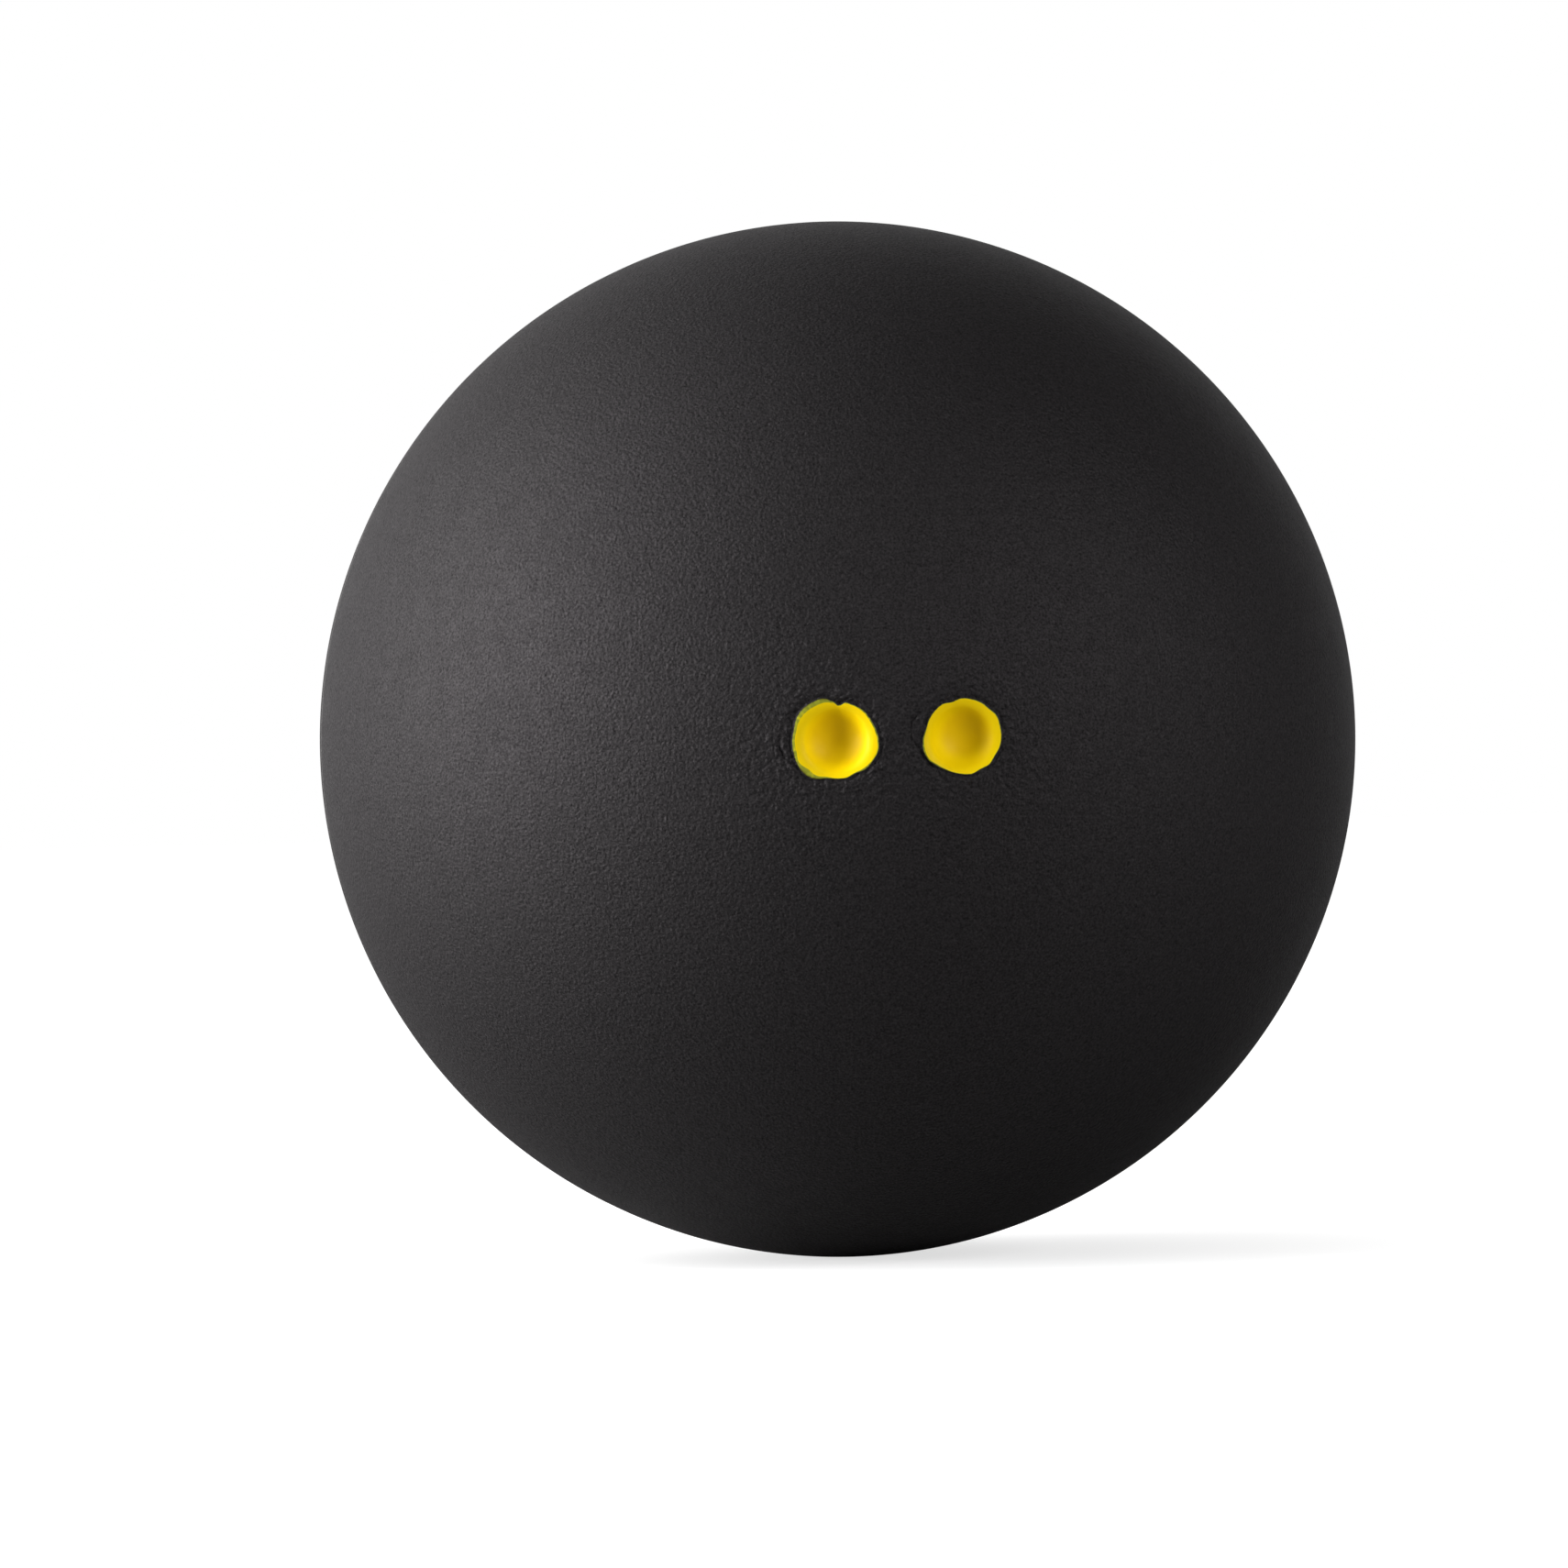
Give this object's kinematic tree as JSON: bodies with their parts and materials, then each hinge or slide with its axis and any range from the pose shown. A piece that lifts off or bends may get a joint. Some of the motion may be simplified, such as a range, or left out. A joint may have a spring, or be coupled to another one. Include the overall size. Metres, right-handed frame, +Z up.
{
  "type": "squash ball",
  "caption": "Hollow black rubber ball for squash, with yellow dots painted in moulded dimples that mark a slow ball.",
  "frame": {"origin": "middle of the ball", "axes": "+Z up; -Y runs out of the front pole, midway between the dots; +X is to the right of someone who faces the dots"},
  "size_m": [0.04, 0.04, 0.04],
  "materials": {
    "rubber": "matt buffed black butyl rubber with fine grain",
    "cement": "cured rubber cement, buffed flush",
    "dot_paint": "yellow enamel paint, satin gloss"
  },
  "bodies": {
    "root": {"front_half_shell": "rubber", "rear_half_shell": "rubber", "seam_cement": "cement", "left_dot": "dot_paint", "right_dot": "dot_paint"}
  },
  "joints": []
}
